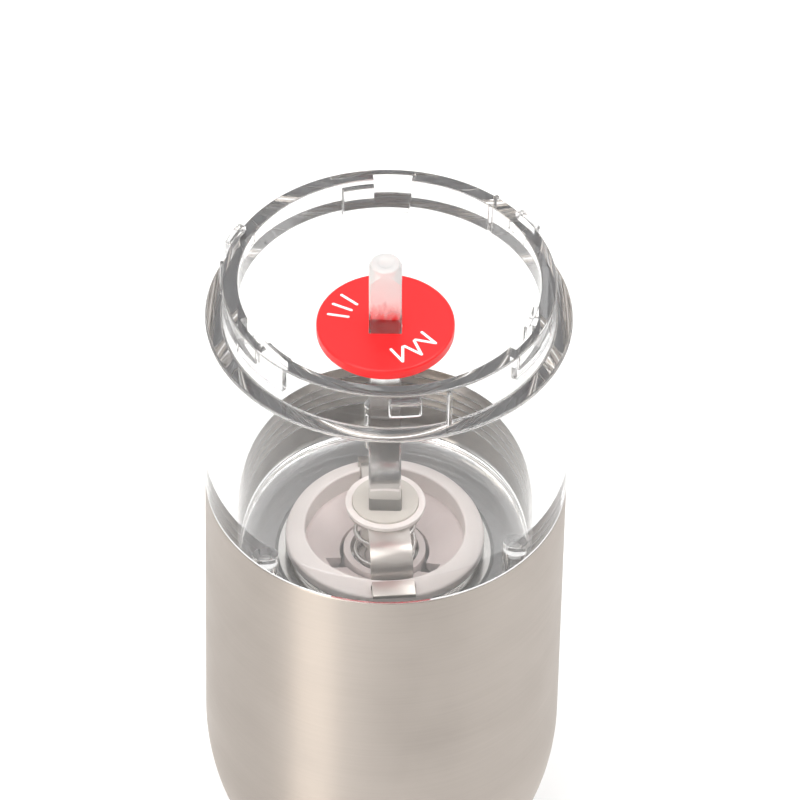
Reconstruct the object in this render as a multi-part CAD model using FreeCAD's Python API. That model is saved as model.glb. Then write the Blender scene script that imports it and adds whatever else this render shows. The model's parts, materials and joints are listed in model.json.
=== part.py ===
"""Pepper mill without its turning head: a clear hopper with a bayonet collar, a ceramic burr set in
the hopper's floor, and a brushed steel body that catches the ground pepper.

Millimetres. +Z is up along the mill's axis, and the origin is the centre of the foot it stands on.
Every function below makes one sub-part, and PARTS at the end names them all.
"""

import FreeCAD, Part
import math
import os

# ---- driving dimensions ---------------------------------------------------------------------
BODY_R = 31.0                 # outside of the steel body and of the clear hopper
COLLAR_TOP_Z = 138.0          # top of the hopper's collar above the table
RIM_Z = COLLAR_TOP_Z - 45.6   # top edge of the steel body
STEEL_WALL = 0.7

COLLAR_R = 28.15              # outside of the collar that the head slips over
COLLAR_H = 7.45
HOPPER_BORE_R = 25.5
FLOOR_TOP_Z = 80.5
FLOOR_UNDER_Z = 77.5
SPIGOT_R = 30.22              # the hopper's lower end, inside the steel
GROOVES = 4                   # round the spigot, just below the steel's rim
GROOVE_PITCH = 1.8
GROOVE_DEPTH = 0.4
FLOOR_HOLE_R = 16.4
HUB_ANGLES = (96.0, 216.0, 336.0)      # screw posts, and the bridge's line
NUB_ANGLES = (36.0, 156.0, 276.0)      # bayonet nubs, and the keys that stop the body turning

SHAFT_SIDE = 5.5
SHAFT_TOP_Z = COLLAR_TOP_Z + 4.1
SHAFT_FOOT_Z = 84.3
DISC_R = 11.7
DISC_TOP_Z = COLLAR_TOP_Z - 9.4
DISC_T = 2.1
DISC_HOLE = 6.0               # square hole, loose on the shaft

BUSH_TOP_Z = COLLAR_TOP_Z - 48.6
BUSH_HEAD_R = 5.7
BUSH_HEAD_T = 0.9
BUSH_NECK_R = 4.2
BUSH_FOOT_Z = 80.4
BUSH_CLIP_Z = 86.55           # underside of the retaining ring
BUSH_CLIP_T = 0.6
WASHER_R = 6.9
BRIDGE_ANGLE = HUB_ANGLES[0]
BRIDGE_TOP_Z = COLLAR_TOP_Z - 49.75
BRIDGE_T = 0.8
BRIDGE_W = 7.0
BRIDGE_REACH = 13.0           # outer face of each leg from the axis
BRIDGE_BEND_R = 4.4
BRIDGE_RISER_R = 15.4         # outer face of the hook that comes up through the flange
BRIDGE_HOOK_T = 0.7

HOUSING_TOP_Z = 83.8          # at the mouth; the flange slopes down from there
HOUSING_RIM_Z = 82.5          # at the flange's rim
HOUSING_FLANGE_UNDER_Z = 81.0
HOUSING_FLANGE_R = 17.2
HOUSING_MOUTH_R = 13.8
HOUSING_R = 16.0
HOUSING_FOOT_Z = 56.0
HOUSING_CLIP_T = 1.1          # circlip in the housing's groove, under the hopper's floor
HOUSING_CLIP_R = 18.4
BRIDGE_SOLE_Z = 80.3          # underside of the strip where it passes under the mouth's edge
STATOR_R = 14.6
STATOR_TOP_Z = 79.6
STATOR_FOOT_Z = 60.2
FUNNEL_R = 7.8
FUNNEL_DROP = 2.2
STATOR_BURR_R = 11.6          # tips of the stator's teeth, at its foot
STATOR_TEETH = 18

ROTOR_TOP_Z = 78.0
ROTOR_BOSS_R = 7.1
ROTOR_FOOT_Z = 62.0
ROTOR_SHOULDER_Z = 75.2
ROTOR_TOP_R = 7.1
ROTOR_FOOT_R = 11.2
ROTOR_RIDGES = 9
SPRING_SEAT_Z = 75.8
SPRING_R = 5.1                # to the middle of the wire
SPRING_WIRE = 0.8
SPRING_PITCH = 5.0

SPINDLE_SIDE = 4.0
SPINDLE_FOOT_Z = 65.6
BALL_R = 1.6
BALL_Z = 62.3

KNOB_R = 8.5
KNOB_TOP_Z = 54.0
KNOB_FOOT_Z = 44.5
KNOB_GRIPS = 24
SPIDER_HUB_R = 5.0
SPIDER_HUB_FOOT_Z = 47.3
SPIDER_FOOT_Z = 56.5
SPIDER_TOP_Z = STATOR_FOOT_Z - 0.1
BARB_Z = 57.5                 # underside of the spider's three barbs
BARB_H = 1.1
KNOB_CLIP_Z = 49.45           # underside of the wire ring on the spider's hub
KNOB_CLIP_T = 0.7
LIFTER_HEAD_Z = 51.4          # where the square head starts
LIFTER_TOP_Z = 61.0
LIFTER_FOOT_Z = 44.9
LIFTER_SIDE = 4.8
LIFTER_STEM_R = 2.4

COUPLING_FOOT_Z = 70.0
COUPLING_PLATE_Z = 75.3       # underside of its top plate
COUPLING_SKIRT_R = 27.2
COUPLING_HOLE_R = 19.0
KEY_W = 4.0
KEY_TOP_Z = 72.0
SEAL_Z = 73.9
SEAL_R = 0.75
SCREW_R = 0.95
POST_RING_R = 23.1

ARC_TOP_Z = 37.7              # where the steel body starts to round in
ARC_R = 50.0                  # radius of that rounding, on the outside
ARC_SWEEP = 20.7              # degrees it rounds in by, before it runs on as a cone to the foot
SHELL_FOOT_Z = 1.2
SHELL_LIP_R = 17.5
CUP_R = 29.9
CUP_WALL = 1.4
CUP_RIM_Z = 69.7
CUP_UNDER_Z = 7.0
BASE_SCREW_RING_R = 11.0
BASE_UNDER_Z = 0.5
BASE_PLUG_Z = 2.4             # top of the part that stands up inside the steel
BASE_FLANGE_R = 19.8
FOOT_IN_R = 15.5
FOOT_OUT_R = 18.5


# ---- helpers --------------------------------------------------------------------------------
def vec(x, y, z):
    return FreeCAD.Vector(x, y, z)


def spun(*corners):
    """A body of revolution. Each corner is (r, z); a pair of them, (through, end), is an arc."""
    edges = []
    start = vec(corners[0][0], 0, corners[0][1])
    here = start
    for corner in corners[1:]:
        if isinstance(corner[0], tuple):
            through = vec(corner[0][0], 0, corner[0][1])
            end = vec(corner[1][0], 0, corner[1][1])
            edges.append(Part.Arc(here, through, end).toShape())
        else:
            end = vec(corner[0], 0, corner[1])
            edges.append(Part.makeLine(here, end))
        here = end
    if not here.isEqual(start, 1e-6):
        edges.append(Part.makeLine(here, start))
    face = Part.Face(Part.Wire(edges))
    return face.revolve(vec(0, 0, 0), vec(0, 0, 1), 360)


def disc(r, z0, z1, x=0.0, y=0.0):
    return Part.makeCylinder(r, z1 - z0, vec(x, y, z0))


def tube(r_in, r_out, z0, z1):
    return disc(r_out, z0, z1).cut(disc(r_in, z0 - 1, z1 + 1))


def block(x0, x1, y0, y1, z0, z1):
    return Part.makeBox(x1 - x0, y1 - y0, z1 - z0, vec(x0, y0, z0))


def square_rod(side, z0, z1):
    half = side / 2
    return block(-half, half, -half, half, z0, z1)


def turned(shape, angle):
    """A copy turned about the mill's axis."""
    copy = shape.copy()
    copy.rotate(vec(0, 0, 0), vec(0, 0, 1), angle)
    return copy


def at_each(shape, angles):
    """Copies of a shape made at +X, one at each angle, as one list."""
    return [turned(shape, angle) for angle in angles]


def sector(r_in, r_out, z0, z1, start, end):
    """Part of a tube between two angles in degrees."""
    wedge = Part.makeCylinder(r_out, z1 - z0, vec(0, 0, z0), vec(0, 0, 1), end - start)
    core = disc(r_in, z0 - 1, z1 + 1)
    return turned(wedge.cut(core), start)


def star(teeth, r_tip, r_root, z, twist):
    """A closed wire with pointed teeth."""
    points = []
    for step in range(2 * teeth):
        r = r_tip if step % 2 == 0 else r_root
        angle = math.radians(180.0 / teeth * step + twist)
        points.append(vec(r * math.cos(angle), r * math.sin(angle), z))
    return Part.makePolygon(points + [points[0]])


def side_arc(inset):
    """Top, middle and end (r, z) of the body's rounding, on the outside or an inset in from it."""
    points = []
    for share in (0.0, 0.5, 1.0):
        angle = math.radians(ARC_SWEEP * share)
        r = BODY_R - ARC_R + (ARC_R - inset) * math.cos(angle)
        points.append((r, ARC_TOP_Z - (ARC_R - inset) * math.sin(angle)))
    return points


def cone_radius(z, inset):
    """Radius of the cone below the rounding at a height, on the outside or an inset in from it."""
    end_r, end_z = side_arc(inset)[2]
    return end_r - (end_z - z) * math.tan(math.radians(ARC_SWEEP))


def cross_recess(z0, z1, size):
    bar = block(-size, size, -size / 4, size / 4, z0, z1)
    return bar.fuse(turned(bar, 90))


# ---- hopper and what is fixed to it -----------------------------------------------------------
def hopper():
    """Clear hopper: collar, shoulder, thick wall, and a floor with a round hole for the burr set."""
    edge = 0.35
    corner = 0.5
    fillet = 3.0
    shoulder_z = COLLAR_TOP_Z - COLLAR_H
    turn = math.cos(math.radians(45))
    grooves = []
    for count in range(GROOVES):
        z = RIM_Z - 2.0 - GROOVE_PITCH * count
        grooves += [
            (SPIGOT_R, z + GROOVE_DEPTH),
            ((SPIGOT_R - GROOVE_DEPTH, z), (SPIGOT_R, z - GROOVE_DEPTH)),
        ]
    body = spun(
        (HOPPER_BORE_R + edge, COLLAR_TOP_Z),
        (COLLAR_R - edge, COLLAR_TOP_Z),
        (COLLAR_R, COLLAR_TOP_Z - edge),
        (COLLAR_R, shoulder_z),
        (BODY_R - corner, shoulder_z),
        ((BODY_R - corner * (1 - turn), shoulder_z - corner * (1 - turn)), (BODY_R, shoulder_z - corner)),
        (BODY_R, RIM_Z + 0.05),
        (SPIGOT_R, RIM_Z + 0.05),
        *grooves,
        (SPIGOT_R, FLOOR_UNDER_Z),
        (FLOOR_HOLE_R, FLOOR_UNDER_Z),
        (FLOOR_HOLE_R, FLOOR_TOP_Z),
        (HOPPER_BORE_R - fillet, FLOOR_TOP_Z),
        ((HOPPER_BORE_R - fillet * (1 - turn), FLOOR_TOP_Z + fillet * (1 - turn)),
         (HOPPER_BORE_R, FLOOR_TOP_Z + fillet)),
        (HOPPER_BORE_R, COLLAR_TOP_Z - edge),
    )

    nub = block(COLLAR_R - 1, COLLAR_R + 1.5, -2.7, 2.7, COLLAR_TOP_Z - 3.9, COLLAR_TOP_Z - 0.5)
    outer_edges = [e for e in nub.Edges if e.BoundBox.XMin > COLLAR_R + 1]
    nub = nub.makeFillet(0.7, outer_edges)
    rib = block(COLLAR_R - 1, COLLAR_R + 0.9, -0.4, 0.4, shoulder_z - 0.5, COLLAR_TOP_Z - edge)
    rib_angles = [angle + 15.3 for angle in NUB_ANGLES]

    lug_r = HOPPER_BORE_R - 1.0
    lug = sector(lug_r, HOPPER_BORE_R + 0.5, COLLAR_TOP_Z - 6.8, COLLAR_TOP_Z - 0.9, -13.3, 13.5)
    pocket = sector(lug_r - 1, HOPPER_BORE_R + 1.3, COLLAR_TOP_Z - 4.2, COLLAR_TOP_Z + 1, -13.3, 1.0)

    post_top_z = COLLAR_TOP_Z - 49.0
    post = disc(1.8, FLOOR_TOP_Z - 0.5, post_top_z, POST_RING_R)
    web = block(POST_RING_R, HOPPER_BORE_R + 0.5, -0.6, 0.6, FLOOR_TOP_Z - 0.5, post_top_z - 1.0)
    pilot = disc(SCREW_R + 0.05, FLOOR_UNDER_Z - 1, post_top_z - 2.5, POST_RING_R)

    added = at_each(nub, NUB_ANGLES) + at_each(rib, rib_angles) + at_each(lug, HUB_ANGLES)
    added += at_each(post, HUB_ANGLES) + at_each(web, HUB_ANGLES)
    body = body.multiFuse(added)
    return body.cut(at_each(pocket, HUB_ANGLES) + at_each(pilot, HUB_ANGLES)).removeSplitter()


def coupling_ring():
    """Grey ring screwed under the hopper's floor: it plugs into the steel body and carries the seal."""
    outer_r = SPIGOT_R - 0.02
    groove_r = outer_r - 2 * SEAL_R + 0.02
    groove_half = SEAL_R + 0.1
    ring = spun(
        (outer_r, FLOOR_UNDER_Z),
        (outer_r, SEAL_Z + groove_half),
        (groove_r, SEAL_Z + groove_half),
        (groove_r, SEAL_Z - groove_half),
        (outer_r, SEAL_Z - groove_half),
        (outer_r, COUPLING_FOOT_Z),
        (COUPLING_SKIRT_R, COUPLING_FOOT_Z),
        (COUPLING_SKIRT_R, COUPLING_PLATE_Z),
        (COUPLING_HOLE_R, COUPLING_PLATE_Z),
        (COUPLING_HOLE_R, FLOOR_UNDER_Z),
    )
    notch_w = KEY_W + 0.6
    notch = block(COUPLING_SKIRT_R - 1, SPIGOT_R + 1, -notch_w / 2, notch_w / 2,
                  COUPLING_FOOT_Z - 1, KEY_TOP_Z + 0.4)
    hole = disc(SCREW_R + 0.15, COUPLING_PLATE_Z - 1, FLOOR_UNDER_Z + 1, POST_RING_R)
    return ring.cut(at_each(notch, NUB_ANGLES) + at_each(hole, HUB_ANGLES))


def seal_ring():
    """Silicone O-ring that grips the inside of the steel body."""
    return Part.makeTorus(SPIGOT_R - SEAL_R + 0.03, SEAL_R, vec(0, 0, SEAL_Z))


def hopper_screws():
    """Three self-tapping screws, up through the coupling ring into the hopper's posts."""
    head = disc(1.9, COUPLING_PLATE_Z - 1.3, COUPLING_PLATE_Z, POST_RING_R)
    shank = disc(SCREW_R, COUPLING_PLATE_Z, COLLAR_TOP_Z - 52.2, POST_RING_R)
    recess = cross_recess(COUPLING_PLATE_Z - 2, COUPLING_PLATE_Z - 0.7, 1.1)
    recess.translate(vec(POST_RING_R, 0, 0))
    return Part.Compound(at_each(head.fuse(shank).cut(recess), HUB_ANGLES))


def floor_gasket():
    """Thin silicone washer between the burr housing's flange and the hopper's floor."""
    return tube(FLOOR_HOLE_R, HOUSING_FLANGE_R - 0.2, FLOOR_TOP_Z, HOUSING_FLANGE_UNDER_Z)


# ---- burr set ---------------------------------------------------------------------------------
def flange_z(r):
    """Height of the housing flange's sloping top at a radius."""
    share = (r - HOUSING_MOUTH_R) / (HOUSING_FLANGE_R - HOUSING_MOUTH_R)
    return HOUSING_TOP_Z + share * (HOUSING_RIM_Z - HOUSING_TOP_Z)


def grinder_housing():
    """White housing: a flange that rests on the hopper's floor and a sleeve that holds the burrs."""
    groove_top_z = FLOOR_UNDER_Z - 0.05
    groove_foot_z = groove_top_z - HOUSING_CLIP_T - 0.1
    soft = 0.4
    mouth_r = HOUSING_MOUTH_R + soft
    rim_r = HOUSING_FLANGE_R - soft
    body = spun(
        (mouth_r, flange_z(mouth_r)),
        (rim_r, flange_z(rim_r)),
        ((HOUSING_FLANGE_R - 0.1, flange_z(rim_r) - 0.2), (HOUSING_FLANGE_R, flange_z(rim_r) - soft)),
        (HOUSING_FLANGE_R, HOUSING_FLANGE_UNDER_Z),
        (HOUSING_R, HOUSING_FLANGE_UNDER_Z),
        (HOUSING_R, groove_top_z),
        (HOUSING_R - 0.8, groove_top_z),
        (HOUSING_R - 0.8, groove_foot_z),
        (HOUSING_R, groove_foot_z),
        (HOUSING_R, HOUSING_FOOT_Z),
        (STATOR_R + 0.05, HOUSING_FOOT_Z),
        (STATOR_R + 0.05, STATOR_TOP_Z + 0.1),
        (HOUSING_MOUTH_R, STATOR_TOP_Z + 0.1),
        (HOUSING_MOUTH_R, flange_z(mouth_r) - soft),
        ((HOUSING_MOUTH_R + 0.1, flange_z(mouth_r) - 0.1), (mouth_r, flange_z(mouth_r))),
    )
    foot_w = BRIDGE_W + 0.3
    slot_r = BRIDGE_RISER_R + 0.1
    slot_in_r = BRIDGE_RISER_R - BRIDGE_HOOK_T - 0.05
    half = foot_w / 2
    slot_foot_z = BRIDGE_SOLE_Z - 0.2
    under_bar = block(HOUSING_MOUTH_R - 2, slot_r, -half, half, slot_foot_z, BRIDGE_SOLE_Z + 1)
    riser_slot = block(slot_in_r, slot_r, -half, half, slot_foot_z, HOUSING_TOP_Z + 1)
    window = block(HOUSING_R - 3, HOUSING_R + 1, -2.3, 2.3, BARB_Z - 0.3, BARB_Z + BARB_H + 0.3)
    bridge_ends = (BRIDGE_ANGLE, BRIDGE_ANGLE + 180)
    cuts = at_each(under_bar, bridge_ends) + at_each(riser_slot, bridge_ends)
    return body.cut(cuts + at_each(window, NUB_ANGLES))


def housing_clip():
    """Steel circlip under the hopper's floor that holds the burr housing down."""
    z1 = FLOOR_UNDER_Z - 0.05
    ring = tube(HOUSING_R - 0.75, HOUSING_CLIP_R, z1 - HOUSING_CLIP_T, z1)
    gap = block(HOUSING_R - 3, HOUSING_CLIP_R + 1, -2.0, 2.0, z1 - 2, z1 + 1)
    return ring.cut(turned(gap, 30))


def stator():
    """Ceramic outer burr: a shallow funnel with feed slots over a toothed, slightly opening bore."""
    ring = spun(
        (STATOR_R, STATOR_TOP_Z),
        (HOUSING_MOUTH_R - 0.4, STATOR_TOP_Z),
        (FUNNEL_R, STATOR_TOP_Z - FUNNEL_DROP),
        (FUNNEL_R, STATOR_TOP_Z - FUNNEL_DROP - 1.3),
        (STATOR_BURR_R - 0.9, STATOR_TOP_Z - FUNNEL_DROP - 2.6),
        (STATOR_BURR_R - 0.9, STATOR_FOOT_Z),
        (STATOR_R, STATOR_FOOT_Z),
    )
    top_z = STATOR_TOP_Z - FUNNEL_DROP - 2.6
    wires = []
    for step in range(4):
        share = step / 3.0
        z = STATOR_FOOT_Z - 0.5 + share * (top_z - 0.4 - STATOR_FOOT_Z)
        tip = STATOR_BURR_R + 0.9 - 0.3 * share
        wires.append(star(STATOR_TEETH, tip, tip - 0.85, z, 14 * share))
    toothed = Part.makeLoft(wires, True, True)
    slot = block(FUNNEL_R - 2, 10.6, -1.3, 1.3, top_z - 1.0, STATOR_TOP_Z + 1)
    slot_angles = [angle - 9 for angle in HUB_ANGLES]
    return ring.cut([toothed] + at_each(slot, slot_angles))


def rotor():
    """Ceramic inner burr: a ridged cone under a round boss that holds the spring."""
    wires = []
    for step in range(5):
        share = step / 4.0
        z = ROTOR_FOOT_Z + share * (ROTOR_SHOULDER_Z - ROTOR_FOOT_Z)
        tip = ROTOR_FOOT_R + share * (ROTOR_TOP_R - ROTOR_FOOT_R)
        wires.append(star(ROTOR_RIDGES, tip, tip - 1.3 + 0.4 * share, z, -34 * share))
    cone = Part.makeLoft(wires, True, True)
    boss = disc(ROTOR_BOSS_R, ROTOR_SHOULDER_Z - 0.4, ROTOR_TOP_Z)
    spring_pocket = disc(5.95, SPRING_SEAT_Z, ROTOR_TOP_Z + 1)
    drive_hole = square_rod(SPINDLE_SIDE + 0.2, SPINDLE_FOOT_Z - 0.6, ROTOR_TOP_Z)
    ball_pocket = disc(BALL_R + 0.05, ROTOR_FOOT_Z - 1, BALL_Z + BALL_R)
    return cone.fuse(boss).cut([spring_pocket, drive_hole, ball_pocket])


def thrust_ball():
    """Steel ball that the turning rotor runs on."""
    return Part.makeSphere(BALL_R, vec(0, 0, BALL_Z))


def spring_washer():
    return tube(3.4, 5.85, SPRING_SEAT_Z + 0.02, SPRING_SEAT_Z + 0.42)


def rotor_spring():
    """Open coil spring between the bridge and the rotor."""
    z0 = SPRING_SEAT_Z + 0.5 + SPRING_WIRE / 2
    z1 = BRIDGE_TOP_Z - BRIDGE_T - 0.05 - SPRING_WIRE / 2
    helix = Part.makeHelix(SPRING_PITCH, z1 - z0, SPRING_R)
    path = Part.Wire(helix.Edges)
    section = Part.Wire([Part.makeCircle(SPRING_WIRE / 2, vec(SPRING_R, 0, 0), vec(0, 1, 0))])
    coil = path.makePipeShell([section], True, True)
    coil.translate(vec(0, 0, z0))
    return turned(coil, 200)


def bridge():
    """Steel strip across the housing: it holds the bush, and its feet hook up over the flange."""
    half = BRIDGE_W / 2
    under_z = BRIDGE_TOP_Z - BRIDGE_T
    bend_start = BRIDGE_REACH - BRIDGE_BEND_R
    leg_top_z = BRIDGE_TOP_Z - BRIDGE_BEND_R
    top = block(-bend_start, bend_start, -half, half, under_z, BRIDGE_TOP_Z)
    eye = disc(6.6, under_z, BRIDGE_TOP_Z)

    outer = Part.makeCylinder(BRIDGE_BEND_R, BRIDGE_W, vec(bend_start, half, leg_top_z), vec(0, -1, 0))
    inner = Part.makeCylinder(BRIDGE_BEND_R - BRIDGE_T, BRIDGE_W, vec(bend_start, half, leg_top_z),
                              vec(0, -1, 0))
    quarter = block(bend_start, BRIDGE_REACH + 1, -half, half, leg_top_z, BRIDGE_TOP_Z + 1)
    bend = outer.cut(inner).common(quarter)

    foot_z = BRIDGE_SOLE_Z
    leg = block(BRIDGE_REACH - BRIDGE_T, BRIDGE_REACH, -half, half, foot_z, leg_top_z)
    sole = block(BRIDGE_REACH - BRIDGE_T, BRIDGE_RISER_R, -half, half, foot_z, foot_z + BRIDGE_T)
    tab_r = HOUSING_FLANGE_R + 0.1
    hook = [
        (BRIDGE_RISER_R - BRIDGE_HOOK_T, foot_z),
        (BRIDGE_RISER_R - BRIDGE_HOOK_T, flange_z(BRIDGE_RISER_R - BRIDGE_HOOK_T) + 0.1 + BRIDGE_HOOK_T),
        (tab_r, flange_z(tab_r) + 0.1 + BRIDGE_HOOK_T),
        (tab_r, flange_z(tab_r) + 0.1),
        (BRIDGE_RISER_R, flange_z(BRIDGE_RISER_R) + 0.1),
        (BRIDGE_RISER_R, foot_z),
    ]
    outline = Part.makePolygon([vec(r, -half, z) for r, z in hook + hook[:1]])
    tab = Part.Face(outline).extrude(vec(0, BRIDGE_W, 0))
    side = bend.fuse([leg, sole, tab])
    strip = top.fuse([eye] + at_each(side, (0, 180))).removeSplitter()
    strip = strip.cut(disc(BUSH_NECK_R + 0.06, under_z - 1, BRIDGE_TOP_Z + 1))
    return turned(strip, BRIDGE_ANGLE)


def spider():
    """White three-armed carrier, snapped into the housing's foot, that guides the lifter."""
    ring_in_r = STATOR_R - 2.0
    ring = tube(ring_in_r, STATOR_R, SPIDER_FOOT_Z, SPIDER_TOP_Z)
    arm = block(0, ring_in_r + 0.4, -1.5, 1.5, SPIDER_FOOT_Z, SPIDER_TOP_Z)
    hub = disc(SPIDER_HUB_R, SPIDER_HUB_FOOT_Z, SPIDER_TOP_Z)
    barb = block(STATOR_R - 1, HOUSING_R - 0.5, -2.0, 2.0, BARB_Z, BARB_Z + BARB_H)
    body = ring.fuse(at_each(arm, HUB_ANGLES) + [hub] + at_each(barb, NUB_ANGLES))
    guide = square_rod(LIFTER_SIDE + 0.2, LIFTER_HEAD_Z - 0.9, STATOR_FOOT_Z + 1)
    bore = disc(LIFTER_STEM_R + 0.1, SPIDER_HUB_FOOT_Z - 1, LIFTER_HEAD_Z)
    clip_top_z = KNOB_CLIP_Z + KNOB_CLIP_T
    clip_groove = tube(SPIDER_HUB_R - 0.5, SPIDER_HUB_R + 1, KNOB_CLIP_Z - 0.05, clip_top_z + 0.05)
    return body.cut([guide, bore, clip_groove])


def lifter():
    """Threaded pin that can't turn; the knob's nut raises and lowers it under the rotor."""
    head = square_rod(LIFTER_SIDE, LIFTER_HEAD_Z, LIFTER_TOP_Z)
    stem = disc(LIFTER_STEM_R, LIFTER_FOOT_Z, LIFTER_HEAD_Z + 0.2)
    cup = Part.makeSphere(BALL_R + 0.05, vec(0, 0, BALL_Z))
    return head.fuse(stem).cut(cup)


def adjuster_knob():
    """Knurled grind knob with the nut for the lifter; it turns on the spider's hub."""
    bore_r = SPIDER_HUB_R + 0.06
    groove_r = SPIDER_HUB_R + 0.65
    groove_top_z = KNOB_CLIP_Z + KNOB_CLIP_T + 0.2
    groove_foot_z = KNOB_CLIP_Z - 0.2
    body = spun(
        (KNOB_R, KNOB_TOP_Z - 0.6),
        (KNOB_R - 0.6, KNOB_TOP_Z),
        (bore_r, KNOB_TOP_Z),
        (bore_r, groove_top_z),
        (groove_r, groove_top_z),
        (groove_r, groove_foot_z),
        (bore_r, groove_foot_z),
        (bore_r, SPIDER_HUB_FOOT_Z - 0.3),
        (LIFTER_STEM_R + 0.06, SPIDER_HUB_FOOT_Z - 0.3),
        (LIFTER_STEM_R + 0.06, KNOB_FOOT_Z),
        (KNOB_R - 1.2, KNOB_FOOT_Z),
        (KNOB_R, KNOB_FOOT_Z + 1.2),
    )
    groove = disc(0.45, KNOB_FOOT_Z - 1, KNOB_TOP_Z + 1, KNOB_R + 0.15)
    step = 360.0 / KNOB_GRIPS
    return body.cut(at_each(groove, [step * count for count in range(KNOB_GRIPS)]))


def knob_clip():
    """Wire ring that keeps the knob on the spider's hub."""
    top_z = KNOB_CLIP_Z + KNOB_CLIP_T
    ring = tube(SPIDER_HUB_R - 0.45, SPIDER_HUB_R + 0.45, KNOB_CLIP_Z, top_z)
    return ring.cut(block(0, KNOB_R, -1.2, 1.2, KNOB_CLIP_Z - 1, top_z + 1))


# ---- drive ------------------------------------------------------------------------------------
def drive_shaft():
    """Clear square shaft with a rounded tip that finds the head's socket by itself."""
    rod = square_rod(SHAFT_SIDE, SHAFT_FOOT_Z, SHAFT_TOP_Z)
    tip_r = 2.45
    corner_r = SHAFT_SIDE / 2 * math.sqrt(2) - 0.2
    envelope = spun(
        (0, SHAFT_FOOT_Z),
        (corner_r, SHAFT_FOOT_Z),
        (corner_r, SHAFT_TOP_Z - 2.6),
        (tip_r + 0.1, SHAFT_TOP_Z - 0.4),
        ((tip_r - 0.02, SHAFT_TOP_Z - 0.1), (tip_r - 0.3, SHAFT_TOP_Z)),
        (0, SHAFT_TOP_Z),
    )
    dimple = Part.makeSphere(3.0, vec(0, 0, SHAFT_TOP_Z + 2.6))
    stop_z = DISC_TOP_Z - DISC_T - 0.02
    half = SHAFT_SIDE / 2
    stop = block(half - 0.2, half + 0.9, -1.0, 1.0, stop_z - 0.8, stop_z)
    shaft = rod.common(envelope).fuse(at_each(stop, (0, 180)))
    return shaft.cut(dimple)


def fill_disc():
    """Red disc on the shaft that marks how full the hopper may be."""
    z0 = DISC_TOP_Z - DISC_T
    soft = 0.35
    body = spun(
        (0, z0),
        (DISC_R - soft, z0),
        ((DISC_R - soft * 0.29, z0 + soft * 0.29), (DISC_R, z0 + soft)),
        (DISC_R, DISC_TOP_Z - soft),
        ((DISC_R - soft * 0.29, DISC_TOP_Z - soft * 0.29), (DISC_R - soft, DISC_TOP_Z)),
        (0, DISC_TOP_Z),
    )
    return body.cut(square_rod(DISC_HOLE, z0 - 1, DISC_TOP_Z + 1))


def shaft_bush():
    """Flanged bush: a square socket for the shaft above, the steel spindle below."""
    head_under_z = BUSH_TOP_Z - BUSH_HEAD_T
    head = disc(BUSH_HEAD_R, head_under_z, BUSH_TOP_Z)
    neck = disc(BUSH_NECK_R, BUSH_FOOT_Z, head_under_z + 0.1)
    socket = square_rod(SHAFT_SIDE + 0.1, SHAFT_FOOT_Z - 0.1, BUSH_TOP_Z + 1)
    corners = disc(SHAFT_SIDE / 2 * math.sqrt(2) - 0.14, SHAFT_FOOT_Z - 0.1, BUSH_TOP_Z + 1)
    spindle_hole = square_rod(SPINDLE_SIDE + 0.02, BUSH_FOOT_Z - 1, SHAFT_FOOT_Z)
    clip_top_z = BUSH_CLIP_Z + BUSH_CLIP_T
    groove = tube(BUSH_NECK_R - 0.3, BUSH_NECK_R + 1, BUSH_CLIP_Z - 0.05, clip_top_z + 0.05)
    return head.fuse(neck).cut([socket.common(corners), spindle_hole, groove])


def bush_washer():
    """White running washer that the bush's head sits in."""
    z0 = BRIDGE_TOP_Z + 0.05
    outer = disc(WASHER_R, z0, BUSH_TOP_Z - 0.35)
    recess = disc(BUSH_HEAD_R + 0.06, BUSH_TOP_Z - BUSH_HEAD_T, BUSH_TOP_Z)
    return outer.cut([recess, disc(BUSH_NECK_R + 0.06, z0 - 1, BUSH_TOP_Z)])


def bush_clip():
    """Retaining ring on the bush's neck, under the bridge."""
    top_z = BUSH_CLIP_Z + BUSH_CLIP_T
    ring = tube(BUSH_NECK_R - 0.28, BUSH_NECK_R + 0.4, BUSH_CLIP_Z, top_z)
    return ring.cut(block(0, BUSH_HEAD_R, -1.6, 1.6, BUSH_CLIP_Z - 1, top_z + 1))


def spindle():
    """Square steel pin that turns the rotor and lets it slide."""
    rod = square_rod(SPINDLE_SIDE, SPINDLE_FOOT_Z, SHAFT_FOOT_Z - 0.15)
    return rod.common(disc(2.7, SPINDLE_FOOT_Z, SHAFT_FOOT_Z))


# ---- lower body -------------------------------------------------------------------------------
def steel_shell():
    """Brushed steel sleeve, straight at the top, rounded in below and coned down to a small foot."""
    lip_top_z = SHELL_FOOT_Z + STEEL_WALL
    out_top, out_mid, out_end = side_arc(0)
    in_top, in_mid, in_end = side_arc(STEEL_WALL)
    return spun(
        (BODY_R - 0.2, RIM_Z),
        (BODY_R, RIM_Z - 0.2),
        out_top,
        (out_mid, out_end),
        (cone_radius(SHELL_FOOT_Z, 0), SHELL_FOOT_Z),
        (SHELL_LIP_R, SHELL_FOOT_Z),
        (SHELL_LIP_R, lip_top_z),
        (cone_radius(lip_top_z, STEEL_WALL), lip_top_z),
        in_end,
        (in_mid, in_top),
        (BODY_R - STEEL_WALL, RIM_Z),
    )


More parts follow.
